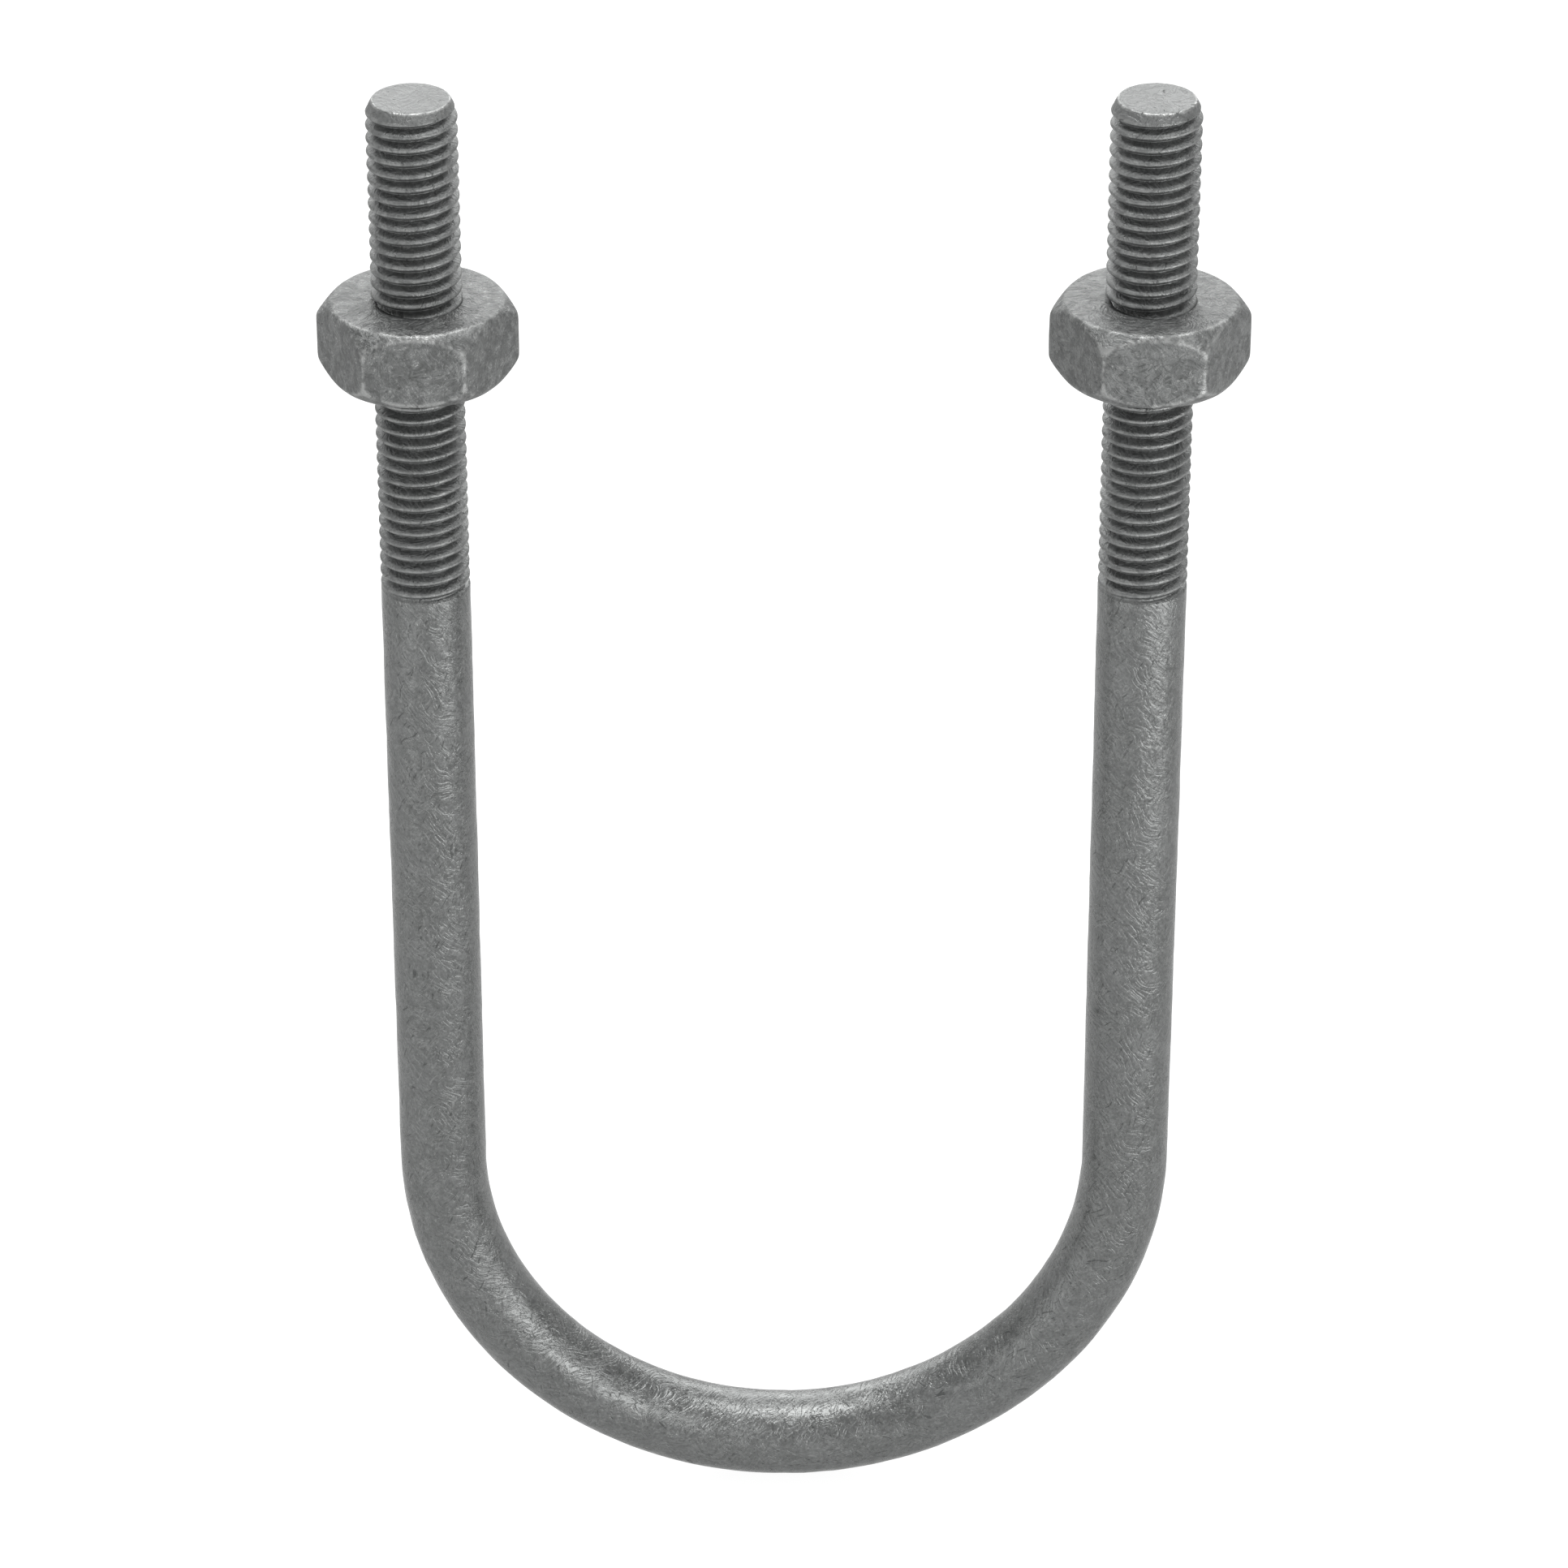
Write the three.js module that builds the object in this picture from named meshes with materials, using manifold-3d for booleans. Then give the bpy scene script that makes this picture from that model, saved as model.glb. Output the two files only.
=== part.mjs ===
// U-bolt for a 3 inch pipe: a round steel bar bent into a U, threaded on both legs, with a hexagon nut on each.
// Millimetres, +Z up. The U stands in the XZ plane, and the origin is at the lowest point of its bend.

import * as THREE from "three";
import { ParametricGeometry } from "three/addons/geometries/ParametricGeometry.js";
import { mergeVertices } from "three/addons/utils/BufferGeometryUtils.js";
import Module from "manifold-3d";

const wasm = await Module();
wasm.setup();

// Bar
const barDiameter = 12.7;
const insideWidth = 89.1; // between the legs, 0.2 more than the pipe
const overallHeight = 228.1; // from the bend's lowest point to the leg ends
const endFaceRadius = 5.4; // the leg's flat end, inside its chamfer
const endChamferHeight = 1.8;

// Thread: 13 turns to the inch, right-hand on both legs
const threadPitch = 25.4 / 13;
const threadDepth = 0.6134 * threadPitch;
const threadLength = 74.9; // measured down from the leg's end
const crestWidth = threadPitch / 8;
const firstCrestDrop = 1.27; // from the end face down to the highest crest, at the front of the leg
const runOutLength = 1.3; // over which the groove gets shallower towards the shank

// Nuts
const nutAcrossFlats = 24.8;
const nutHeight = 11.1;
const nutEdgeRadius = 1.2; // of the six upright edges
const nutMidHeight = 192.4; // above the origin
const nutFaceRadius = 12; // the flat of each face, inside a 45 degree chamfer
const boreRadius = 6.65; // passes over the thread's crests

// Fineness
const barSides = 16;
const bendSteps = 24;
const nutSides = 36;
const edgeSteps = 4; // round each upright edge

// Worked out from the above
const barRadius = barDiameter / 2;
const bendRadius = (insideWidth + barDiameter) / 2; // to the middle of the bar
const bendHeight = bendRadius + barRadius; // height of the bend's centre, the pipe's axis
const threadStart = overallHeight - threadLength;

// A closed geometry as a solid that can be joined and cut.
function toSolid(geometry) {
  const bare = geometry.clone();
  bare.deleteAttribute("normal");
  bare.deleteAttribute("uv");
  const merged = mergeVertices(bare);
  return new wasm.Manifold(
    new wasm.Mesh({
      numProp: 3,
      vertProperties: merged.attributes.position.array,
      triVerts: new Uint32Array(merged.index.array),
    }),
  );
}

// A solid as a flat-shaded geometry.
function toGeometry(solid) {
  const { vertProperties, triVerts } = solid.getMesh();
  const shared = new THREE.BufferGeometry();
  shared.setAttribute("position", new THREE.BufferAttribute(vertProperties, 3));
  shared.setIndex(new THREE.BufferAttribute(triVerts, 1));
  const geometry = shared.toNonIndexed();
  geometry.computeVertexNormals();
  return geometry;
}

// A profile of [radius, height] points turned round the Z axis.
function turned(profile, sides) {
  const points = profile.map(([radius, height]) => new THREE.Vector2(radius, height));
  return new THREE.LatheGeometry(points, sides).rotateX(Math.PI / 2);
}

// The middle line of the bend: a half circle, from the top of its left side, down and round to its right.
class BendLine extends THREE.Curve {
  getPoint(t, target = new THREE.Vector3()) {
    const angle = Math.PI * (1 + t);
    return target.set(bendRadius * Math.cos(angle), 0, bendHeight + bendRadius * Math.sin(angle));
  }

  getTangent(t, target = new THREE.Vector3()) {
    const angle = Math.PI * (1 + t);
    return target.set(-Math.sin(angle), 0, Math.cos(angle));
  }
}

function bend() {
  const section = new THREE.Shape().absarc(0, 0, barRadius, 0, 2 * Math.PI);
  return new THREE.ExtrudeGeometry(section, {
    steps: bendSteps,
    curveSegments: barSides / 2, // a circle is drawn with two points for each
    bevelEnabled: false,
    extrudePath: new BendLine(),
  });
}

// How deep the groove is at a height, as a share of its full depth: it fades out at both ends of the thread.
function grooveShare(height) {
  const fromShank = (height - threadStart) / runOutLength;
  const fromEnd = (overallHeight - height) / (threadPitch / 2);
  return Math.min(1, fromShank, fromEnd);
}

// The chamfer's radius at a height. Below the chamfer it is more than the bar's.
function chamferRadius(height) {
  const slope = (barRadius - endFaceRadius) / endChamferHeight;
  return endFaceRadius + slope * (overallHeight - height);
}

// One leg, from the bend up to its end face, as one surface: u goes round the leg and v goes up it.
// Each row of the thread climbs one pitch in going round, so it meets the row one turn above its own start.
// The rows run lower crest edge, upper crest edge, root, and those past an end of the thread close up there.
function leg() {
  const highestCrest = overallHeight - firstCrestDrop;
  const turnsDown = Math.ceil((highestCrest - threadStart) / threadPitch) + 1;
  const lowestCrest = highestCrest - turnsDown * threadPitch;
  const rowRise = [-crestWidth / 2, crestWidth / 2, threadPitch / 2];
  const threadRows = rowRise.length * (turnsDown + 2);
  const lastRow = threadRows + 2;

  const surface = (u, v, target) => {
    const row = Math.round(v * lastRow);
    if (row === 0) return target.set(0, 0, bendHeight);
    if (row === lastRow) return target.set(0, 0, overallHeight);

    let height = bendHeight;
    let radius = barRadius;
    if (row > 1) {
      const turn = Math.floor((row - 2) / rowRise.length);
      const part = (row - 2) % rowRise.length;
      const climbed = lowestCrest + (turn + u) * threadPitch + rowRise[part];
      const isRoot = part === rowRise.length - 1;
      height = THREE.MathUtils.clamp(climbed, threadStart, overallHeight);
      radius -= isRoot ? threadDepth * grooveShare(height) : 0;
      radius = Math.min(radius, chamferRadius(height));
    }
    const angle = 2 * Math.PI * u - Math.PI / 2; // from the front, which faces -Y
    return target.set(radius * Math.cos(angle), radius * Math.sin(angle), height);
  };
  return new ParametricGeometry(surface, barSides, lastRow);
}

function galvanisedBarSteel() {
  return new THREE.MeshStandardMaterial({ color: 0x8e9190, roughness: 0.48, metalness: 0.85 });
}

function uBar() {
  const leftLeg = toSolid(leg().translate(-bendRadius, 0, 0));
  const rightLeg = toSolid(leg().translate(bendRadius, 0, 0));
  const bar = toSolid(bend()).add(leftLeg).add(rightLeg);
  const mesh = new THREE.Mesh(toGeometry(bar), galvanisedBarSteel());
  mesh.name = "u_bar";
  return mesh;
}

// A hexagon with two of its flats facing front and back, and a rounded corner towards each side.
function hexagonPrism() {
  const halfTurn = Math.PI / 6; // from a corner's middle to the flat beside it
  const centreRadius = (nutAcrossFlats / 2 - nutEdgeRadius) / Math.cos(halfTurn);
  const outline = new THREE.Shape();
  for (let corner = 0; corner < 6; corner++) {
    const angle = (corner * Math.PI) / 3;
    const x = centreRadius * Math.cos(angle);
    const y = centreRadius * Math.sin(angle);
    outline.absarc(x, y, nutEdgeRadius, angle - halfTurn, angle + halfTurn);
  }
  return new THREE.ExtrudeGeometry(outline, {
    depth: nutHeight,
    curveSegments: edgeSteps / 2, // an arc is drawn with two points for each
    bevelEnabled: false,
  });
}

// The round blank that leaves both faces of the hexagon chamfered at 45 degrees.
function chamferBlank() {
  const widest = nutFaceRadius + nutHeight / 2;
  const profile = [
    [0, 0],
    [nutFaceRadius, 0],
    [widest, nutHeight / 2],
    [nutFaceRadius, nutHeight],
    [0, nutHeight],
  ];
  return turned(profile, nutSides);
}

// The bore. It runs past both faces, to cut right through.
function boreCutter() {
  const past = 1;
  const profile = [
    [0, -past],
    [boreRadius, -past],
    [boreRadius, nutHeight + past],
    [0, nutHeight + past],
  ];
  return turned(profile, nutSides);
}

function galvanisedNutSteel() {
  return new THREE.MeshStandardMaterial({ color: 0x898c8b, roughness: 0.5, metalness: 0.85 });
}

function nut(name, x) {
  const chamfered = toSolid(hexagonPrism()).intersect(toSolid(chamferBlank()));
  const bored = chamfered.subtract(toSolid(boreCutter()));
  const mesh = new THREE.Mesh(toGeometry(bored), galvanisedNutSteel());
  mesh.name = name;
  mesh.position.set(x, 0, nutMidHeight - nutHeight / 2);
  return mesh;
}

const uBolt = new THREE.Group();
uBolt.add(uBar());
uBolt.add(nut("left_nut", -bendRadius));
uBolt.add(nut("right_nut", bendRadius));

export default uBolt;
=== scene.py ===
"""A U-bolt with its two hexagon nuts, in dull weathered zinc, on a pale studio floor.

Lengths are in metres. The bolt stands on the lowest point of its bend, legs up, and its front
faces -Y.
"""

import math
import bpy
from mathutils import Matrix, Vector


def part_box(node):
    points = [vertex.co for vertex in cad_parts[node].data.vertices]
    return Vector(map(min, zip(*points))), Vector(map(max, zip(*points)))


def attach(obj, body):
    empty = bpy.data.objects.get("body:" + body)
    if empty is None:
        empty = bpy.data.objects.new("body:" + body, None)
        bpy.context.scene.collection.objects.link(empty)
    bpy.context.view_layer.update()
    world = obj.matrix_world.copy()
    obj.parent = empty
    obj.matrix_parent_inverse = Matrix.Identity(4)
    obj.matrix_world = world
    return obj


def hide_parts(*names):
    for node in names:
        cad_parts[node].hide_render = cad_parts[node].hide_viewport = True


bl_info = {
    "name": "U-bolt",
    "version": (1, 0, 0),
    "blender": (4, 5, 0),
    "location": "3D View > Sidebar > U-bolt",
    "description": "Makes a threaded U-bolt, its hexagon nuts and a plain studio stage",
    "category": "Add Mesh",
}

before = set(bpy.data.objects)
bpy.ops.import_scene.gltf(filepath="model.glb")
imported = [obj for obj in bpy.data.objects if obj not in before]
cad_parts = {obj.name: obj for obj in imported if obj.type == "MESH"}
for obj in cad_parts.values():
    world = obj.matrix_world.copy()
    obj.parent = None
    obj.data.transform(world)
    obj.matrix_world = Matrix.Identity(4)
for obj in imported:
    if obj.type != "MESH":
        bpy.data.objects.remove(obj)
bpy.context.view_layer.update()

import bmesh
import bpy
import numpy as np
from bpy.props import FloatProperty, FloatVectorProperty, IntProperty, PointerProperty
from bpy.types import NodeSocket, Operator, Panel, PropertyGroup
from mathutils import Vector

FULL_TURN = 2 * math.pi
SIN_60 = math.sin(math.radians(60))
TO_MM = 1000
PITCH = 0.0254 / 13

bar_low, bar_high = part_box("u_bar")
nut_low, nut_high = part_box("left_nut")
BAR_DIAMETER = bar_high.y - bar_low.y


def length(name, description, default):
    """A length that a user can change, in metres."""
    return FloatProperty(
        name=name,
        description=description,
        default=default,
        min=0,
        precision=5,
        subtype="DISTANCE",
        unit="LENGTH",
    )


def colour(name, description, default):
    """A colour that a user can change."""
    return FloatVectorProperty(
        name=name, description=description, default=default, size=3, min=0, max=1, subtype="COLOR"
    )


def amount(name, description, default):
    """A plain number that a user can change, such as a light's brightness."""
    return FloatProperty(name=name, description=description, default=default, min=0, max=10)


class BarSizes(PropertyGroup):
    """The bent bar and the threads on its legs."""

    diameter: length("Bar diameter", "Of the shank and over the thread's crests", BAR_DIAMETER)
    inside_width: length(
        "Inside width", "Gap between the legs", bar_high.x - bar_low.x - 2 * BAR_DIAMETER
    )
    height: length("Height", "From the bend's lowest point to the leg ends", bar_high.z - bar_low.z)
    pitch: length("Pitch", "Climb of the thread in one turn", PITCH)
    thread_depth: length("Thread depth", "From crest to root", 0.6134 * PITCH)
    thread_length: length("Thread length", "From the leg's end to the last of the groove", 0.0749)
    run_out: length("Run-out", "Length over which the groove gets shallow", 0.0013)
    first_crest: length(
        "First crest", "From the leg's end down to the first crest, at the front", 0.00127
    )
    end_radius: length("End face radius", "Of the leg's flat end", 0.0054)
    chamfer_height: length("End chamfer", "Height of the chamfer at the leg's end", 0.0018)
    columns: IntProperty(name="Columns", description="Faces round the bar", default=60, min=12)


class NutSizes(PropertyGroup):
    """Both hexagon nuts."""

    across_flats: length("Across flats", "Wrench size", nut_high.y - nut_low.y)
    height: length("Height", "Of the nut along its thread", nut_high.z - nut_low.z)
    face_radius: length(
        "Face radius", "Of the flat part of each face, inside its chamfer", 0.012
    )
    hole_radius: length("Hole radius", "At the mouth of the thread", 0.0064)
    clearance: length("Thread clearance", "Between the nut's thread and the bar's", 0.00005)
    columns: IntProperty(
        name="Columns", description="Faces across each of the six flats", default=26, min=6
    )


class ZincFinish(PropertyGroup):
    """Colours of the weathered zinc."""

    bar: colour("Bar", "Zinc on the bent bar", (0.134, 0.1375, 0.136))
    nut: colour("Nuts", "Zinc on the nuts", (0.129, 0.1325, 0.131))
    # The wear colour also paints a highlight on the nuts' front edges
    worn_and_highlight: colour("Worn edges", "Where crests and edges are rubbed bright", (0.33, 0.335, 0.33))
    # Colour of the cracks and pits, and of the dirt and painted shade in the thread's roots and the
    # nuts' bores
    grime_and_shade: colour("Grime", "In cracks, pits and thread roots", (0.045, 0.047, 0.046))


class StudioSetting(PropertyGroup):
    """Floor, light and camera."""

    floor: colour("Floor", "Pale floor", (0.1, 0.1, 0.1))
    floor_glow: amount("Floor glow", "How far the floor lights itself, which keeps shadows faint", 0.94)
    sky: amount("Sky", "Brightness all round", 0.9)
    overhead: amount("Overhead light", "Brightness of the large light above", 8.0)
    back: amount("Back light", "Brightness of the light behind and above", 4.0)
    right: amount("Right light", "Brightness of the light at the right", 4.8)
    left: amount("Left light", "Brightness of the light at the left", 1.6)
    front: amount("Front light", "Brightness of the light at the camera's right", 3.4)
    camera_distance: length("Camera distance", "From the camera to what it looks at", 0.92286)
    camera_rise: FloatProperty(
        name="Camera rise",
        description="Angle above the horizon",
        default=math.radians(29.593),
        subtype="ANGLE",
    )
    target_height: length("Target height", "Height of what the camera looks at", 0.12061)
    lens: FloatProperty(name="Lens", description="Focal length in millimetres", default=146.52, min=1)


# Shapes


def smooth_step(value):
    """0 below 0, 1 above 1, and between them three squares less two cubes of the value."""
    t = np.clip(value, 0, 1)
    return t * t * (3 - 2 * t)


def lesser(a, b, softness):
    """The smaller of two, with the corner where they cross rounded.

    It is minus the log of the sum of both falling powers.
    """
    return -softness * np.logaddexp(-a / softness, -b / softness)


def high_mean(values, power):
    """The root of the sum of the values' powers, along the last axis: a little over the largest."""
    largest = values.max(axis=-1, keepdims=True)
    return largest[..., 0] * ((values / largest) ** power).sum(axis=-1) ** (1 / power)


def unevenness(place, wavelength, seed, waves=24):
    """Gentle bumps of about one wavelength, mostly within -1 to 1.

    They are a sum of sine waves in evenly random directions, over the root of their number.
    """
    random = np.random.default_rng(seed)
    direction = random.normal(size=(waves, 3))
    direction /= np.linalg.norm(direction, axis=1, keepdims=True)
    stretch = FULL_TURN / wavelength * random.uniform(0.6, 1.6, size=(waves, 1))
    start = random.uniform(0, FULL_TURN, size=waves)
    return np.sin(place @ (direction * stretch).T + start).sum(axis=-1) / math.sqrt(waves)


def groove_depth(turns, pitch, depth):
    """Depth below the crest at a number of turns from one.

    It runs over a round crest, down a flank of a 60 degree thread and into a round root.
    The crest is an arc of 0.2 pitch. The root's arc takes up what is left, so that the two arcs and the
    straight flank that touches both come to the full depth.
    """
    crest = 0.2 * pitch
    root = SIN_60 * pitch - depth - crest
    aside = np.abs(turns - np.round(turns)) * pitch
    from_root = pitch / 2 - aside
    on_crest = crest - np.sqrt(np.maximum(crest**2 - aside**2, 0))
    on_root = depth - root + np.sqrt(np.maximum(root**2 - from_root**2, 0))
    on_flank = crest / 2 + 2 * SIN_60 * (aside - SIN_60 * crest)
    beside_crest = np.where(from_root < SIN_60 * root, on_root, on_flank)
    return np.where(aside < SIN_60 * crest, on_crest, beside_crest)


def rows_of_one_turn():
    """Shares of a turn at which a row lies: close on the crest and root, far apart on the flanks."""
    half = np.array([0, 0.06, 0.12, 0.1732, 0.27, 0.36, 0.4545, 0.478])
    return np.concatenate([half, [0.5], 1 - half[:0:-1]])


def rounded_corner(start, corner, end, steps=5):
    """Points of a quadratic Bezier curve, from start to end, that leans towards the corner."""
    t = np.linspace(0, 1, steps)[:, None]
    start, corner, end = map(np.array, (start, corner, end))
    return (1 - t) ** 2 * start + 2 * t * (1 - t) * corner + t**2 * end


class BarShape:
    """The bar as a surface of two parameters: the way along it, and the turn round it.

    The way along starts at the left leg's end. The turn is 0 at the front, and a quarter on the
    outside of the U.
    """

    rim_height = 0.0002  # of the rounded edge between the end face and its chamfer
    rim_width = 0.00028  # of that edge, on the end face
    groove_start = 0.0006  # from the leg's end down to where the groove begins
    groove_growth = 0.0012  # over which it gets to its full depth
    chamfer_softness = 8e-5  # rounds the corner between the chamfer and the crests
    broad_dent, broad_wave = 2.6e-5, 7  # depth in metres and wavelength in millimetres
    fine_dent, fine_wave = 1.1e-5, 2.2
    nick, nick_wave = 6e-5, 1.6
    nicked_depth = 1.5e-4  # how far below a crest its nicks fade out
    thread_smoothness = 0.6  # share of the dents that the thread doesn't have
    crest_relief, chamfer_relief = 0.68, 0.25
    chamfer_reach = 0.0012  # from the leg's end down to where the crests wear bright
    rim_spread, rim_reach = 2.5e-4, 4e-4  # of the bright rim, across the end face and down the leg
    shank_rows, bend_rows = 56, 117

    def __init__(self, sizes):
        self.sizes = sizes
        self.radius = sizes.diameter / 2
        self.bend_radius = (sizes.inside_width + sizes.diameter) / 2
        self.bend_height = self.bend_radius + self.radius
        self.leg = sizes.height - self.bend_height
        self.total = 2 * self.leg + math.pi * self.bend_radius
        self.chamfer_slope = (self.radius - sizes.end_radius) / sizes.chamfer_height

    def from_end(self, along):
        """The way to the nearer leg's end."""
        return np.minimum(along, self.total - along)

    def in_thread(self, along):
        """1 on the thread and 0 on the plain bar, with a smooth step over the run-out."""
        return smooth_step((self.sizes.thread_length - self.from_end(along)) / self.sizes.run_out)

    def groove(self, along, turn):
        """Depth of the thread's groove: full on the legs, fading out at the shank and the chamfer."""
        s = self.sizes
        first = np.where(along < self.total / 2, s.first_crest, self.total - s.first_crest)
        turns = (along - first) / s.pitch - turn
        grown = smooth_step((self.from_end(along) - self.groove_start) / self.groove_growth)
        fade = self.in_thread(along) * grown
        return groove_depth(turns, s.pitch, s.thread_depth) * fade

    def in_mm(self, along, turn, radius):
        """Points of the bar in millimetres as if it were straight, with its length along Z."""
        angle = FULL_TURN * turn
        return TO_MM * np.stack([radius * np.cos(angle), radius * np.sin(angle), along], axis=-1)

    def radius_at(self, along, turn):
        """The bar's radius less the groove, inside the chamfer's cone, with dents and nicked crests."""
        from_end = self.from_end(along)
        place = self.in_mm(along, turn, self.radius)
        groove = self.groove(along, turn)
        dents = self.broad_dent * unevenness(place, self.broad_wave, 3)
        dents = dents + self.fine_dent * unevenness(place, self.fine_wave, 4)
        dents *= smooth_step((from_end - self.rim_height) / 0.001)  # none on the rim
        nicks = self.nick * np.clip(unevenness(place, self.nick_wave, 5) - 0.7, 0, 1)
        nicks = nicks * np.exp(-groove / self.nicked_depth)
        in_thread = self.in_thread(along)
        cone = self.sizes.end_radius + self.chamfer_slope * from_end
        smooth = lesser(self.radius - groove, cone, self.chamfer_softness)
        return smooth + dents * (1 - self.thread_smoothness * in_thread) - nicks * in_thread

    def place(self, along, turn, radius):
        """Points in the frame: down the left leg, round the half circle and up the right leg."""
        bent = np.clip((along - self.leg) / self.bend_radius, 0, math.pi)
        straight = along - self.leg - bent * self.bend_radius
        angle = FULL_TURN * turn
        reach = self.bend_radius + radius * np.sin(angle)
        x = -reach * np.cos(bent) + straight * np.sin(bent)
        z = self.bend_height - reach * np.sin(bent) - straight * np.cos(bent)
        return np.stack([x, -radius * np.cos(angle), z], axis=-1)

    def cap(self):
        """Radius and way down of each row on the left leg's end face and on its rounded edge."""
        end_radius = self.sizes.end_radius
        corner = rounded_corner(
            [end_radius - self.rim_width, 0],
            [end_radius, 0],
            [end_radius + self.chamfer_slope * self.rim_height, self.rim_height],
        )
        return np.vstack([[[0, 0], [0.4 * end_radius, 0], [0.75 * end_radius, 0]], corner])

    def rows(self):
        """Every row's way along the bar at turn 0, its climb in a turn, two limits and set radius.

        A thread's row climbs one pitch in a turn, and so meets the row one turn on. Where it would
        pass a limit it stays at the limit, which closes the thread's ends. The radius is set on the
        caps only.
        """
        s = self.sizes
        rim, shank = self.rim_height, s.thread_length
        cap = self.cap()

        turns = np.arange(-2, math.ceil(shank / s.pitch) + 2)
        lean = ((turns[:, None] + rows_of_one_turn()) * s.pitch).ravel()
        left = s.first_crest + lean
        left = left[(left + s.pitch > rim) & (left < shank)]
        left = np.concatenate([[-s.pitch], left, [shank + s.pitch]])
        right_rim, right_shank = self.total - rim, self.total - shank
        right = self.total - s.first_crest - lean[::-1]
        right = right[(right < right_rim) & (right + s.pitch > right_shank)]
        right = np.concatenate([[right_shank - s.pitch], right, [self.total + s.pitch]])

        down = np.linspace(shank, self.leg, self.shank_rows)
        round_bend = np.linspace(self.leg, self.total - self.leg, self.bend_rows)[1:-1]
        plain = np.concatenate([down, round_bend, self.total - down[::-1]])

        def group(along, climb, low, high, radius=np.nan):
            """Rows that share their climb and their limits."""
            return np.stack(np.broadcast_arrays(along, climb, low, high, radius), axis=-1)

        return np.vstack(
            [
                group(cap[:, 1], 0, 0, self.total, cap[:, 0]),
                group(left, s.pitch, rim, shank),
                group(plain, 0, 0, self.total),
                group(right, s.pitch, right_shank, right_rim),
                group(self.total - cap[::-1, 1], 0, 0, self.total, cap[::-1, 0]),
            ]
        )

    def grid(self):
        """Points of the whole closed surface, with the maps that the finish follows.

        The relief map is 1 on a rim and 0 on the plain bar. On the thread it falls from a crest's
        value to -1 at a root, where the finish paints dirt and painted shade.
        """
        s = self.sizes
        turn = np.linspace(0, 1, s.columns + 1)[None, :]
        start, climb, low, high, set_radius = (column[:, None] for column in self.rows().T)
        along = np.clip(start + climb * turn, low, high)
        turn = turn + 0 * along
        is_cap = ~np.isnan(set_radius)
        radius = np.where(is_cap, np.nan_to_num(set_radius), self.radius_at(along, turn))

        from_end = self.from_end(along)
        in_thread = self.in_thread(along)
        groove = self.groove(along, turn) / s.thread_depth
        relief = in_thread * (self.crest_relief - (1 + self.crest_relief) * groove)
        on_chamfer = from_end < self.chamfer_reach
        relief = np.where(on_chamfer, np.minimum(relief, self.chamfer_relief), relief)
        near_rim = np.exp(-(((radius - s.end_radius) / self.rim_spread) ** 2))
        near_rim = near_rim * (from_end < self.rim_reach)
        relief = np.where(is_cap, near_rim, np.maximum(relief, near_rim))
        maps = {
            "bar_space": self.in_mm(along, turn, radius),
            "relief": relief,
            "threaded": in_thread,
        }
        return self.place(along, turn, radius), maps


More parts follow.
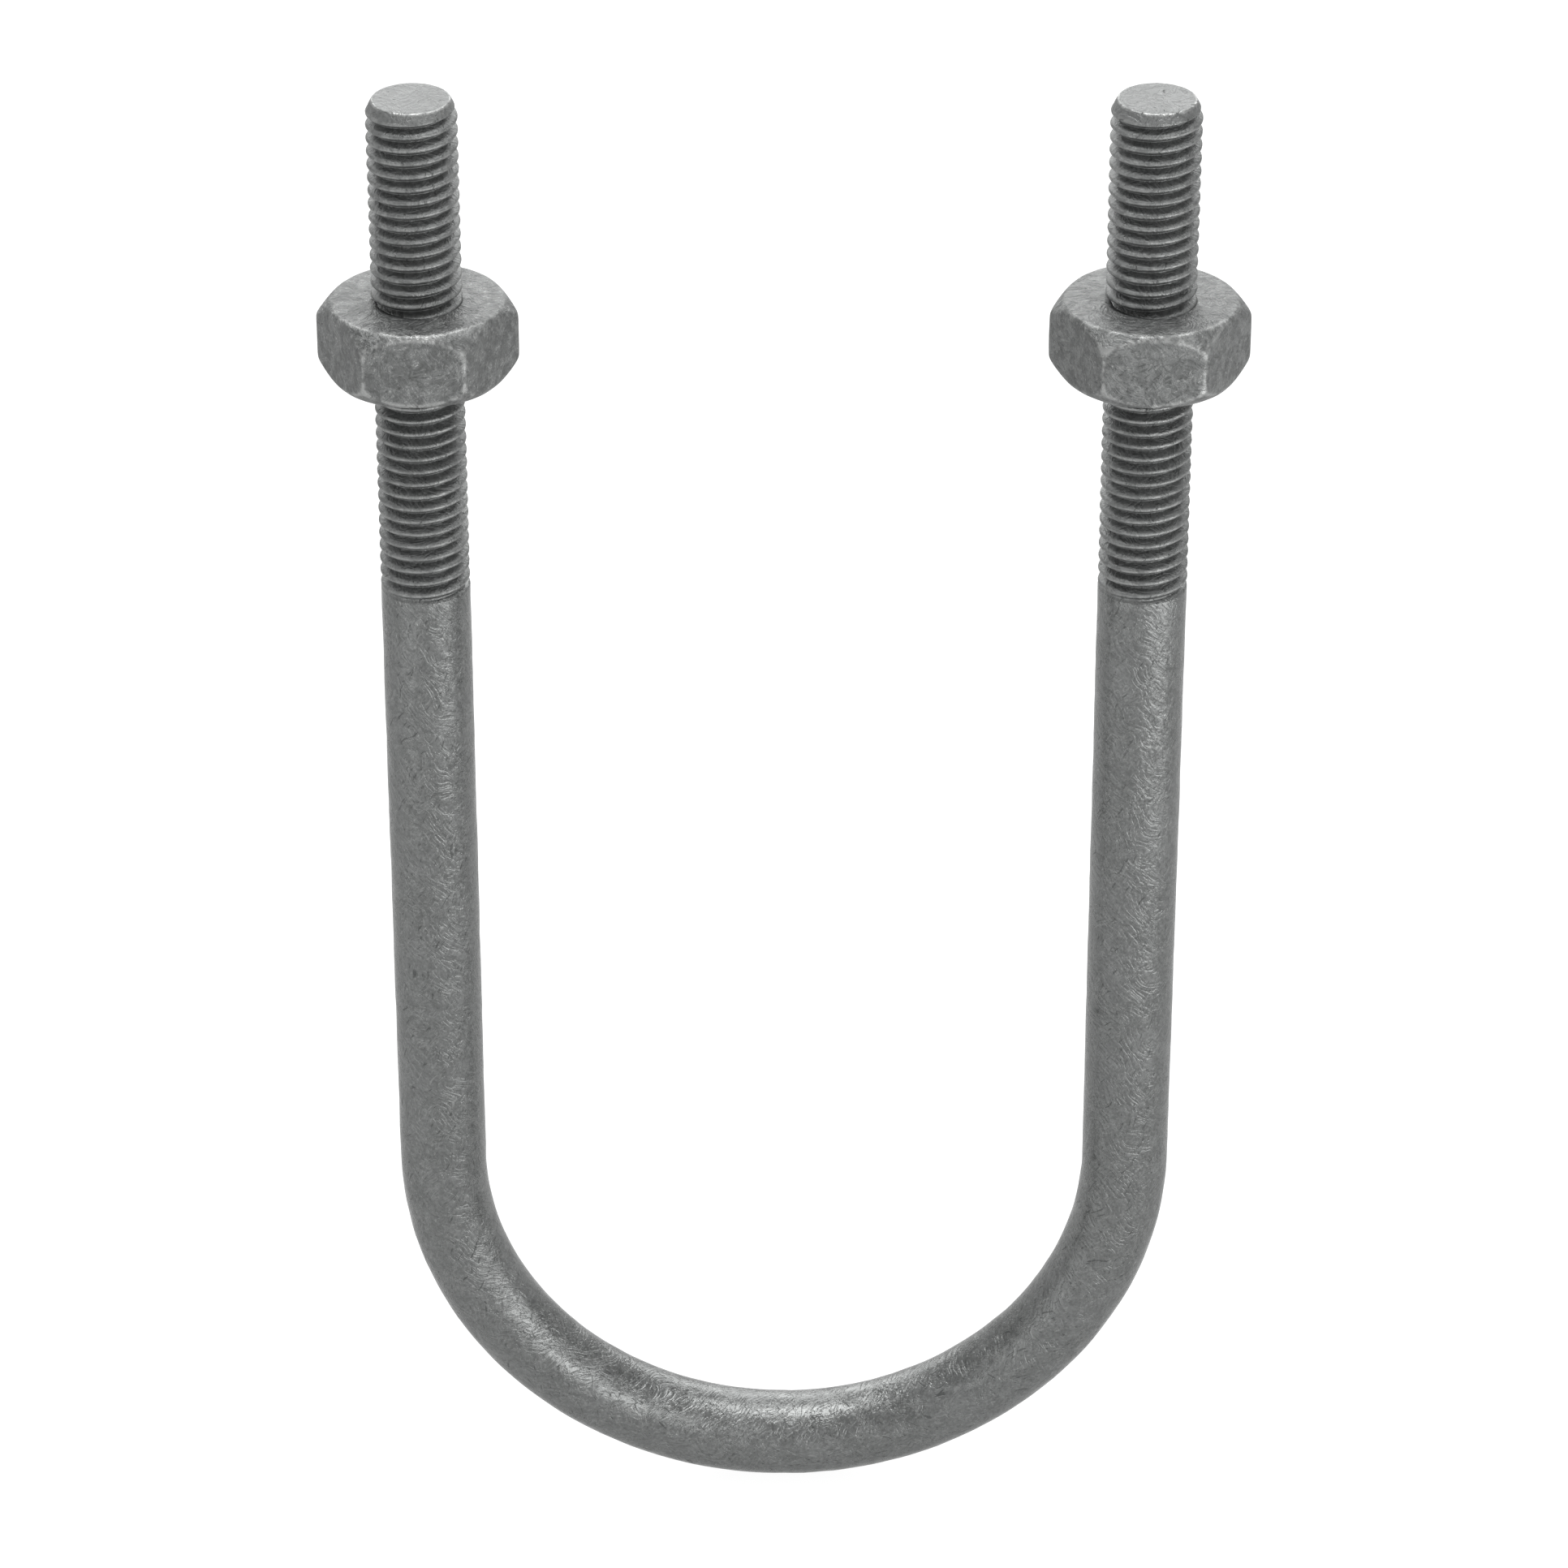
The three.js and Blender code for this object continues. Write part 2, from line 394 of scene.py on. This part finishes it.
class NutShape:
    """A hexagon nut as a surface of two parameters: the turn round it, and a way round its section.

    The turn is 0 at the front.
    """

    flat_power, edge_power = 36, 70  # a higher power gives a sharper edge
    wear_power = 26  # a lower power gives a wider band of wear
    # The wear colour on the nuts' edges is real wear all round, and is stronger at the front as a
    # painted highlight
    back_share_of_wear_and_highlight = 0.3  # of the edges at the back, as a share of those at the front
    mouth_width = 0.00015  # of the hole's rounded edge, on the face
    mouth_depth = 0.0001  # of that edge, down the hole
    # A relief of -1 gives the bore the same dirt and painted shade as a thread root
    mouth_relief, bore_relief = 0.7, -1
    sink_slope = 6  # of the countersink, in radius over depth
    thread_reach = 0.00095  # from the bar's crests in to the nut's own
    dent, dent_wave = 1.4e-5, 5  # depth in metres and wavelength in millimetres
    dent_fade = 0.0008  # from the hole out to where the dents are full
    flat_rows, chamfer_rows, face_rows = 8, 7, 9

    def __init__(self, sizes, bar, centre_x, middle_z):
        self.sizes = sizes
        self.bar = bar
        self.centre_x = centre_x
        self.middle_z = middle_z

    def turns(self):
        """Columns from -1/12 to 11/12 of a turn, closer together at the six upright edges."""
        across = np.linspace(-1, 1, self.sizes.columns + 1)
        spread = (0.25 * across + 0.75 * np.sin(math.pi / 2 * across)) / 12
        middles = np.arange(6)[:, None] / 6
        return np.append((middles + spread[:-1]).ravel(), 11 / 12)

    def outside(self, turn, rise):
        """The way out to the surface from the nut's middle, and how near an edge it is, from 0 to 1.

        Each flat, chamfer cone and face alone would be met at its own distance over the cosine between
        its normal and the way out. One over the answer is a high mean of one over those, which rounds
        every edge.
        """
        s = self.sizes
        half = s.height / 2
        flats = np.arange(6) / 6
        facing = np.cos(FULL_TURN * (turn[..., None] - flats)) * np.cos(rise)[..., None]
        upright = np.maximum(facing, 0) / (s.across_flats / 2)
        flat = high_mean(upright, self.flat_power)
        cone = (np.cos(rise) + np.abs(np.sin(rise))) / (s.face_radius + half)
        face = np.abs(np.sin(rise)) / half
        reach = high_mean(np.stack([flat, cone, face], axis=-1), self.edge_power)
        every = np.concatenate([upright, cone[..., None], face[..., None]], axis=-1)
        over_largest = high_mean(every, self.wear_power) / every.max(axis=-1) - 1
        where_two_meet = 2 ** (1 / self.wear_power) - 1
        return 1 / reach, np.clip(over_largest / where_two_meet, 0, 1)

    def rises(self, turn):
        """Angles above the middle for each outside row, which follow the chamfer's curved lower edge."""
        s = self.sizes
        half = s.height / 2
        from_flat = turn - np.round(turn * 6) / 6
        hexagon = s.across_flats / 2 / np.cos(FULL_TURN * from_flat)
        chamfer_low = np.arctan2(s.face_radius + half - hexagon, hexagon)
        chamfer_high = np.full_like(turn, math.atan2(half, s.face_radius))
        hole = np.full_like(turn, math.atan2(half, s.hole_radius + self.mouth_width))

        def eased(rows):
            """Steps from 0 to 1, without the 0, that are short at both ends."""
            return ((1 - np.cos(math.pi * np.linspace(0, 1, rows))) / 2)[1:, None]

        up_flat = np.sin(math.pi / 2 * np.linspace(0, 1, self.flat_rows))[1:, None]
        upper = np.vstack(
            [
                chamfer_low * up_flat,
                chamfer_low + (chamfer_high - chamfer_low) * eased(self.chamfer_rows),
                chamfer_high + (hole - chamfer_high) * eased(self.face_rows),
            ]
        )
        return np.vstack([-upper[::-1], 0 * turn[None, :], upper])

    def bore(self, turn):
        """Radius and height of the bore's rows: the bar's own thread and a clearance.

        The rows climb one pitch in a turn, and stay at the mouths where they would pass them. The
        thread's crests are cut off, and a countersink widens both ends.
        """
        s = self.sizes
        bar = self.bar
        pitch = bar.sizes.pitch
        half = s.height / 2
        low, high = -half + self.mouth_depth, half - self.mouth_depth
        crest_height = bar.sizes.height - bar.sizes.first_crest - self.middle_z
        steps = np.arange(-math.ceil((crest_height + half) / pitch) - 2, 2)
        start = (crest_height + (steps[:, None] + rows_of_one_turn()) * pitch).ravel()[::-1]
        start = start[(start - pitch / 12 < high) & (start + pitch * 11 / 12 > low)]
        start = np.concatenate([[high + pitch], start, [low - pitch]])
        height = np.clip(start[:, None] + pitch * turn, low, high)
        turns = (height - crest_height) / pitch - (turn + 0 * height)
        thread = bar.radius + s.clearance - groove_depth(turns, pitch, bar.sizes.thread_depth)
        sink = s.hole_radius - self.sink_slope * (half - np.abs(height))
        radius = np.maximum(np.maximum(thread, sink), bar.radius - self.thread_reach)
        return np.stack([radius, height], axis=-1)

    def grid(self):
        """Points of the whole closed surface, with the map of its edges.

        The section goes round the lower mouth, the outside, the upper mouth and the bore. Its last row
        is the first one again, which closes it.
        """
        s = self.sizes
        half = s.height / 2
        turn = self.turns()
        rise = self.rises(turn)
        reach, edge = self.outside(turn + 0 * rise, rise)
        outer = np.stack([reach * np.cos(rise), reach * np.sin(rise)], axis=-1)

        corner = rounded_corner(
            [s.hole_radius + self.mouth_width, half],
            [s.hole_radius, half],
            [s.hole_radius - self.mouth_depth, half - self.mouth_depth],
            4,
        )[1:]
        mouth_top = np.repeat(corner[:, None, :], len(turn), axis=1)
        mouth_bottom = mouth_top[::-1] * [1, -1]
        inner = self.bore(turn)

        section = np.vstack([mouth_bottom, outer, mouth_top, inner, mouth_bottom[:1]])
        # Makes the edge wear strongest at the front edges: a painted highlight on top of the wear
        edge *= self.back_share_of_wear_and_highlight + (1 - self.back_share_of_wear_and_highlight) * np.cos(math.pi * turn) ** 6
        mouth = np.full(mouth_top.shape[:2], self.mouth_relief)
        bore = np.full(inner.shape[:2], self.bore_relief)
        relief = np.vstack([mouth, edge, mouth, bore, mouth[:1]])

        radius, height = section[..., 0], section[..., 1]
        angle = FULL_TURN * (turn + 0 * radius)
        local = np.stack([radius * np.sin(angle), -radius * np.cos(angle), height], axis=-1)
        on_outside = np.clip((radius - s.hole_radius) / self.dent_fade, 0, 1)
        pattern = TO_MM * local + 50 * self.centre_x  # differs from nut to nut
        dents = self.dent * unevenness(pattern, self.dent_wave, 11) * on_outside
        local *= (1 + dents / np.maximum(radius, 0.001))[..., None]
        return local + [self.centre_x, 0, self.middle_z], {"relief": relief}


def add_piece(name, points, maps, material, body, node):
    """Joins a grid of points into one closed smooth mesh, for a CAD node and on its body."""
    rows, columns = points.shape[:2]
    first = np.arange((rows - 1) * columns).reshape(rows - 1, columns)[:, :-1].ravel()
    faces = np.stack([first, first + 1, first + columns + 1, first + columns], axis=-1)
    mesh = bpy.data.meshes.new(name)
    mesh.from_pydata(points.reshape(-1, 3).tolist(), [], faces.tolist())
    for key, values in maps.items():
        is_vector = values.ndim == 3
        kind, field = ("FLOAT_VECTOR", "vector") if is_vector else ("FLOAT", "value")
        attribute = mesh.attributes.new(key, kind, "POINT")
        attribute.data.foreach_set(field, values.astype(np.float32).ravel())

    shape = bmesh.new()
    shape.from_mesh(mesh)
    bmesh.ops.remove_doubles(shape, verts=shape.verts, dist=1.5e-6)
    bmesh.ops.dissolve_degenerate(shape, edges=shape.edges, dist=1e-7)
    bmesh.ops.recalc_face_normals(shape, faces=shape.faces)
    shape.to_mesh(mesh)
    shape.free()
    mesh.shade_smooth()
    mesh.materials.append(material)

    piece = bpy.data.objects.new(name, mesh)
    bpy.context.scene.collection.objects.link(piece)
    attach(piece, body)
    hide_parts(node)
    return piece


# Finishes


class Finish:
    """A material's nodes, added one at a time.

    Each input takes a number, a tuple or another node's output.
    """

    def __init__(self, name):
        self.material = bpy.data.materials.new(name)
        self.material.use_nodes = True
        self.tree = self.material.node_tree
        self.tree.nodes.clear()

    def feed(self, socket, value):
        """Links an output to an input, or sets the input to a value."""
        if isinstance(value, NodeSocket):
            self.tree.links.new(value, socket)
        else:
            socket.default_value = value

    def add(self, kind, inputs, **settings):
        """A new node of a kind, with its inputs by name or number, and its settings."""
        node = self.tree.nodes.new("ShaderNode" + kind)
        for key, value in settings.items():
            setattr(node, key, value)
        for key, value in inputs.items():
            self.feed(node.inputs[key], value)
        return node

    def attribute(self, name, output):
        """One of the piece's own maps."""
        node = self.add("Attribute", {}, attribute_name=name, attribute_type="GEOMETRY")
        return node.outputs[output]

    def noise(self, place, scale, detail, roughness):
        """Fractal noise, mostly between 0.3 and 0.7."""
        inputs = {
            "Vector": place,
            "Scale": scale,
            "Detail": detail,
            "Roughness": roughness,
            "Distortion": 0.0,
        }
        return self.add("TexNoise", inputs).outputs["Fac"]

    def between(self, value, low, high, to_low=0.0, to_high=1.0):
        """A smooth step from to_low, where the value is low, to to_high, where it is high."""
        inputs = {
            "Value": value,
            "From Min": low,
            "From Max": high,
            "To Min": to_low,
            "To Max": to_high,
        }
        return self.add("MapRange", inputs, interpolation_type="SMOOTHSTEP").outputs["Result"]

    def swayed(self, value, low, high, sway):
        """A smooth step from minus the sway to plus the sway."""
        return self.between(value, low, high, -sway, sway)

    def calculate(self, operation, *values):
        """One operation over one value, or over each further value in turn."""
        total = values[0]
        if len(values) == 1:
            return self.add("Math", {0: total}, operation=operation).outputs[0]
        for value in values[1:]:
            total = self.add("Math", {0: total, 1: value}, operation=operation).outputs[0]
        return total

    def scaled(self, value, factor):
        """The value by the factor."""
        return self.calculate("MULTIPLY", value, factor)

    def mapped(self, place, scale=(1, 1, 1), rotation=(0, 0, 0), location=(0, 0, 0)):
        """Moves, turns and scales a pattern's place."""
        inputs = {"Vector": place, "Scale": scale, "Rotation": rotation, "Location": location}
        return self.add("Mapping", inputs).outputs["Vector"]

    def spiralled(self, place, degrees, radius):
        """Twists the pattern round the bar's length, so that a mark drawn along it leans by an angle."""
        along = self.add("SeparateXYZ", {0: place}).outputs["Z"]
        twist = self.scaled(along, math.tan(math.radians(degrees)) / radius)
        inputs = {"Vector": place, "Angle": twist}
        return self.add("VectorRotate", inputs, rotation_type="Z_AXIS").outputs["Vector"]

    def drifted(self, place, drift, reach):
        """Moves a pattern's place by up to half the reach each way, so that its lines curve."""
        halves = {0: drift, 1: (0.5, 0.5, 0.5)}
        middle = self.add("VectorMath", halves, operation="SUBTRACT").outputs[0]
        inputs = {0: middle, 1: (reach,) * 3, 2: place}
        return self.add("VectorMath", inputs, operation="MULTIPLY_ADD").outputs[0]

    def blended(self, share, under, over):
        """The under colour at a share of 0, and the over colour at 1."""
        node = self.tree.nodes.new("ShaderNodeMix")
        node.data_type = "RGBA"
        # A Mix node has a set of sockets for each data type: 6 and 7 in, and 2 out, are the colours'.
        for socket, value in ((0, share), (6, under), (7, over)):
            self.feed(node.inputs[socket], value)
        return node.outputs[2]

    def tinted(self, rgb, tone):
        """A colour made lighter or darker by a tone round 1."""
        return self.add("VectorMath", {0: tuple(rgb), 1: tone}, operation="MULTIPLY").outputs[0]

    def bumped(self, height, distance, normal=None):
        """A normal tilted by the slope of a height, on top of an earlier bump if there is one."""
        inputs = {"Height": height, "Distance": distance, "Strength": 1.0}
        if normal:
            inputs["Normal"] = normal
        return self.add("Bump", inputs).outputs["Normal"]

    def finish(self, inputs):
        """Closes the material with a principled shader."""
        shader = self.add("BsdfPrincipled", inputs)
        self.add("OutputMaterial", {"Surface": shader.outputs[0]})
        return self.material


def opaque(rgb):
    """A colour with its alpha."""
    return (*rgb, 1.0)


# The strength of each kind of mark, from 0 to 1. The two depths are of bumps, in metres.
BAR_MARKS = {
    "cracks": 0.6,
    "pits": 0.35,
    "flecks": 0.15,
    "scratches": 0.25,
    "squiggles": 0.24,
    "wear": 0.75,
    # Strength of the dirt and painted shade in the thread's roots
    "grime_and_shade": 0.6,
    "mottling": 0.015,
    "stroke_depth": 5e-5,
    "grain_depth": 2.5e-5,
    "roughness": 0.3,
    "metallic": 0.96,
}
LEFT_NUT_MARKS = {
    "cracks": 0.35,
    "pits": 0.6,
    "flecks": 0.7,
    "scratches": 0.3,
    "squiggles": 0.28,
    "wear": 0.7,
    # Strength of the dirt and painted shade in the nuts' bores
    "grime_and_shade": 0.6,
    "mottling": 0.12,
    "stroke_depth": 6e-5,
    "grain_depth": 1e-4,
    "roughness": 0.53,
    "metallic": 0.86,
}
RIGHT_NUT_MARKS = {**LEFT_NUT_MARKS, "flecks": 0.2, "scratches": 0.45, "cracks": 0.45}

# Where each nut's pattern starts, in millimetres, how it is turned, in radians, and its marks.
NUT_LOOKS = {
    "left_nut": ((11, 7, 3), (0.3, 0.2, 0), LEFT_NUT_MARKS),
    "right_nut": ((-23, 31, 17), (0.2, 0.8, 0.4), RIGHT_NUT_MARKS),
}


def zinc(name, zinc_colour, colours, places_of, marks):
    """Dull weathered zinc, as a pattern in millimetres.

    Soft clouds, mottling, a fine grain and curved strokes make it lighter and darker. Over them come
    dark cracks and pits, pale flecks, scratches and squiggles, each cut off from a noise: a squiggle is
    where a noise crosses its middle value. Edges and crests are made bright and smooth by wear; on the
    nuts this is stronger at the front edges, as a painted highlight. The thread's roots and the nuts'
    bores are darkened with dirt and painted shade. The thread is a little lighter and rougher than the
    plain bar.
    """
    f = Finish(name)
    place, along_strokes, across_strokes = places_of(f)
    relief = f.attribute("relief", "Fac")
    threaded = f.attribute("threaded", "Fac")

    clouds = f.noise(place, 0.13, 3, 0.55)
    mottling = f.noise(place, 0.6, 3, 0.6)
    grain = f.noise(place, 2.4, 3, 0.65)
    swirl = f.add("TexNoise", {"Vector": place, "Scale": 0.16, "Detail": 1.0}).outputs["Color"]
    along_strokes = f.mapped(f.drifted(along_strokes, swirl, 9), (1.3, 1.3, 0.3))
    strokes = f.noise(along_strokes, 1.0, 2, 0.6)
    across_strokes = f.mapped(f.drifted(across_strokes, swirl, 6), (2.3, 2.3, 0.34))
    crossing = f.noise(across_strokes, 1.0, 1, 0.5)

    thread_lightness, thread_roughness = 0.1, 0.2
    tone = f.calculate(
        "ADD",
        f.swayed(clouds, 0.3, 0.7, 0.04),
        f.swayed(mottling, 0.4, 0.6, marks["mottling"]),
        f.swayed(grain, 0.3, 0.7, 0.13),
        f.swayed(strokes, 0.35, 0.65, 0.08),
        f.scaled(threaded, thread_lightness),
        1.0,
    )

    cracks = f.between(crossing, 0.33, 0.27)
    pits = f.between(grain, 0.33, 0.27)
    specks = f.between(f.noise(place, 2.9, 2, 0.6), 0.58, 0.68)
    flecks = f.calculate("MULTIPLY", specks, f.between(mottling, 0.45, 0.6))
    scratches = f.between(crossing, 0.67, 0.73)
    from_middle = f.calculate("ABSOLUTE", f.calculate("SUBTRACT", crossing, 0.5))
    lines = f.between(from_middle, 0.035, 0.01)
    squiggles = f.calculate("MULTIPLY", lines, f.between(mottling, 0.42, 0.58))

    dark = f.calculate(
        "MAXIMUM",
        f.scaled(cracks, marks["cracks"]),
        f.scaled(pits, marks["pits"]),
    )
    light = f.calculate(
        "MAXIMUM",
        f.scaled(flecks, marks["flecks"]),
        f.scaled(scratches, marks["scratches"]),
        f.scaled(squiggles, marks["squiggles"]),
    )
    raised = f.between(relief, 0.4, 0.95)
    patchy = f.between(mottling, 0.38, 0.6, 0.2, 1.0)
    # Wear on crests, rims and edges; on the nuts' front edges it is also a painted highlight
    rubbed_and_highlit = f.calculate("MULTIPLY", raised, patchy)
    # Dirt and painted shade, darkest at the thread's roots and in the nuts' bores, where the hollows lie
    # in shade
    grime_and_shade_in_hollows = f.between(relief, 0.0, -1.0, 0.0, marks["grime_and_shade"])

    base = f.tinted(zinc_colour, tone)
    base = f.blended(light, base, opaque(colours.worn_and_highlight))
    # Paints the wear, and on the nuts' front edges a painted highlight
    base = f.blended(f.scaled(rubbed_and_highlit, marks["wear"]), base, opaque(colours.worn_and_highlight))
    base = f.blended(dark, base, opaque(colours.grime_and_shade))
    # Paints the dirt and painted shade of the hollows
    base = f.blended(grime_and_shade_in_hollows, base, opaque(colours.grime_and_shade))

    rubbed_roughness, dark_roughness = -0.14, 0.15
    roughness = f.calculate(
        "ADD",
        marks["roughness"],
        f.scaled(threaded, thread_roughness),
        f.swayed(clouds, 0.3, 0.7, 0.04),
        f.swayed(grain, 0.3, 0.7, 0.06),
        f.scaled(rubbed_and_highlit, rubbed_roughness),
        f.scaled(dark, dark_roughness),
    )

    mark_depth = 3.5e-5
    normal = f.bumped(f.between(strokes, 0.4, 0.6), marks["stroke_depth"])
    normal = f.bumped(grain, marks["grain_depth"], normal)
    normal = f.bumped(f.calculate("SUBTRACT", light, dark), mark_depth, normal)
    return f.finish(
        {
            "Base Color": base,
            "Roughness": roughness,
            "Metallic": marks["metallic"],
            "Normal": normal,
            "Specular Tint": (0.8, 0.8, 0.8, 1.0),
        }
    )


def bar_zinc(colours, radius):
    """The bar's zinc. Its pattern follows the bar round the bend, and its marks spiral two ways."""

    def places_of(f):
        place = f.attribute("bar_space", "Vector")
        around = TO_MM * radius
        return place, f.spiralled(place, 38, around), f.spiralled(place, -30, around)

    return zinc("zinc on bar", colours.bar, colours, places_of, BAR_MARKS)


def nut_zinc(node, colours):
    """A nut's zinc. Each nut has its pattern shifted and turned its own way."""
    shift, turned, marks = NUT_LOOKS[node]

    def places_of(f):
        place = f.add("TexCoord", {}).outputs["Object"]
        in_mm = f.mapped(place, (TO_MM,) * 3, location=shift)
        return in_mm, f.mapped(in_mm, rotation=turned), f.mapped(in_mm, rotation=(0.5, -0.9, 0.3))

    return zinc("zinc on " + node.replace("_", " "), colours.nut, colours, places_of, marks)


# What the user calls


class UBOLT_OT_make_bar(Operator):
    """Make the bent bar with a thread on each leg"""

    bl_idname = "u_bolt.make_bar"
    bl_label = "Make bar"

    def execute(self, context):
        sizes, colours = context.scene.u_bolt_bar, context.scene.u_bolt_finish
        shape = BarShape(sizes)
        points, maps = shape.grid()
        material = bar_zinc(colours, shape.radius)
        add_piece("bent_threaded_bar", points, maps, material, "bar", "u_bar")
        return {"FINISHED"}


class UBOLT_OT_make_nuts(Operator):
    """Make the two hexagon nuts on the legs"""

    bl_idname = "u_bolt.make_nuts"
    bl_label = "Make nuts"

    def execute(self, context):
        scene = context.scene
        bar = BarShape(scene.u_bolt_bar)
        for node in NUT_LOOKS:
            low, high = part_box(node)
            middle = (low + high) / 2
            points, maps = NutShape(scene.u_bolt_nut, bar, middle.x, middle.z).grid()
            material = nut_zinc(node, scene.u_bolt_finish)
            add_piece("hexagon_" + node, points, maps, material, node, node)
        return {"FINISHED"}


# Each light's direction from the bolt, in degrees round from the front and up from level, its
# distance from the bolt's middle, and its width and height.
LIGHTS = {
    "overhead": ((180, 88), 1.4, (1.5, 0.6)),
    "back": ((180, 24), 1.6, (2.0, 0.9)),
    "right": ((54, -9), 0.42, (0.3, 0.12)),
    "left": ((-45, -9), 0.42, (0.25, 0.12)),
    "front": ((27, 4), 0.5, (0.2, 0.26)),
}


class UBOLT_OT_set_stage(Operator):
    """Make the floor, the lights and the camera"""

    bl_idname = "u_bolt.set_stage"
    bl_label = "Set stage"

    def execute(self, context):
        scene = context.scene
        studio = scene.u_bolt_studio
        middle = Vector((0, 0, (bar_low.z + bar_high.z) / 2))
        self.lay_floor(scene, studio)
        self.light_sky(scene, studio)
        for name, placing in LIGHTS.items():
            self.hang_light(scene, name + " light", middle, *placing, getattr(studio, name))
        self.place_camera(scene, studio)
        return {"FINISHED"}

    def lay_floor(self, scene, studio):
        """A square floor just under the bend."""
        reach, gap = 6, 5e-5
        level = bar_low.z - gap
        sides = ((-reach, -reach), (reach, -reach), (reach, reach), (-reach, reach))
        corners = [(x, y, level) for x, y in sides]
        mesh = bpy.data.meshes.new("floor")
        mesh.from_pydata(corners, [], [(0, 1, 2, 3)])
        material = Finish("pale floor").finish(
            {
                "Base Color": opaque(studio.floor),
                "Roughness": 0.9,
                "Emission Color": (1.0, 1.0, 1.0, 1.0),
                "Emission Strength": studio.floor_glow,
            }
        )
        mesh.materials.append(material)
        floor = bpy.data.objects.new("floor", mesh)
        scene.collection.objects.link(floor)

    def light_sky(self, scene, studio):
        """An even white sky, and a plain view of what is rendered."""
        world = bpy.data.worlds.new("pale sky")
        world.use_nodes = True
        background = world.node_tree.nodes["Background"]
        background.inputs["Color"].default_value = (1, 1, 1, 1)
        background.inputs["Strength"].default_value = studio.sky
        scene.world = world
        scene.view_settings.view_transform = "Standard"

    def hang_light(self, scene, name, middle, direction, distance, size, brightness):
        """A flat soft light that faces the bolt. Its power is its brightness by pi by its area."""
        turn, rise = map(math.radians, direction)
        level = math.cos(rise)
        way = Vector((math.sin(turn) * level, -math.cos(turn) * level, math.sin(rise)))
        light = bpy.data.lights.new(name, "AREA")
        light.shape = "RECTANGLE"
        light.size, light.size_y = size
        light.energy = brightness * math.pi * size[0] * size[1]
        lamp = bpy.data.objects.new(name, light)
        lamp.location = middle + distance * way
        lamp.rotation_euler = (-way).to_track_quat("-Z", "Y").to_euler()
        lamp.visible_camera = False
        scene.collection.objects.link(lamp)

    def place_camera(self, scene, studio):
        """A camera in front of the bolt, which looks down at it."""
        rise = studio.camera_rise
        target = Vector((0, 0, studio.target_height))
        way = Vector((0, -math.cos(rise), math.sin(rise)))
        camera = bpy.data.objects.new("camera", bpy.data.cameras.new("camera"))
        camera.data.lens = studio.lens
        camera.data.sensor_width = 36
        camera.data.clip_start = 0.01
        camera.location = target + studio.camera_distance * way
        camera.rotation_euler = (-way).to_track_quat("-Z", "Y").to_euler()
        scene.collection.objects.link(camera)
        scene.camera = camera


GROUPS = {
    "u_bolt_bar": BarSizes,
    "u_bolt_nut": NutSizes,
    "u_bolt_finish": ZincFinish,
    "u_bolt_studio": StudioSetting,
}
OPERATORS = (UBOLT_OT_make_bar, UBOLT_OT_make_nuts, UBOLT_OT_set_stage)


class UBOLT_PT_panel(Panel):
    """Sizes and colours of the U-bolt, and buttons that make it"""

    bl_idname = "UBOLT_PT_panel"
    bl_label = "U-bolt"
    bl_space_type = "VIEW_3D"
    bl_region_type = "UI"
    bl_category = "U-bolt"

    def draw(self, context):
        for key, group in GROUPS.items():
            box = self.layout.box()
            for field in group.__annotations__:
                box.prop(getattr(context.scene, key), field)
        for operator in OPERATORS:
            self.layout.operator(operator.bl_idname)


def register():
    """Adds the settings, the operators and the panel."""
    for group in (*GROUPS.values(), *OPERATORS, UBOLT_PT_panel):
        bpy.utils.register_class(group)
    for key, group in GROUPS.items():
        setattr(bpy.types.Scene, key, PointerProperty(type=group))


def unregister():
    """Takes away what register adds."""
    for key in GROUPS:
        delattr(bpy.types.Scene, key)
    for group in reversed((*GROUPS.values(), *OPERATORS, UBOLT_PT_panel)):
        bpy.utils.unregister_class(group)


def main():
    """Makes the bolt and its stage."""
    register()
    bpy.ops.u_bolt.make_bar()
    bpy.ops.u_bolt.make_nuts()
    bpy.ops.u_bolt.set_stage()


if __name__ == "__main__":
    main()
